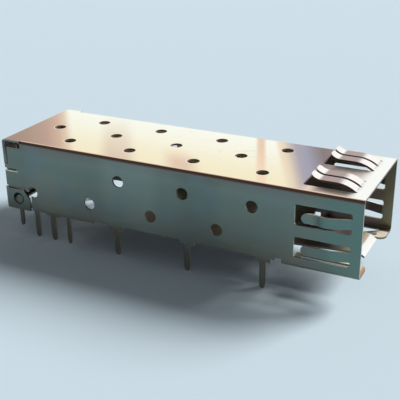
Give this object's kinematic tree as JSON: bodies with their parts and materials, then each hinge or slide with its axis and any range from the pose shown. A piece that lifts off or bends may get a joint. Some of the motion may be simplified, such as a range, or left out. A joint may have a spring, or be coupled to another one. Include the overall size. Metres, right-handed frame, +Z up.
{
  "type": "sfp cage",
  "caption": "Long narrow cage of folded sheet metal with an open front port, vent holes, sprung contact fingers and board pins; it guides, holds and shields a pluggable transceiver.",
  "frame": {"origin": "bottom centre of the bounding box, on the plane of the pin tips", "axes": "+X out of the port, along the cage; +Y across it, towards the left wall seen from behind; +Z up, away from the board"},
  "size_m": [0.0492, 0.0162, 0.0147],
  "materials": {
    "shell": "bright tin-nickel plating over copper alloy, warm where it mirrors light, dark slate where it mirrors shade",
    "base_plate": "bright tin-nickel plating over copper alloy"
  },
  "bodies": {
    "root": {"shell": "shell", "base_plate": "base_plate"}
  },
  "joints": []
}
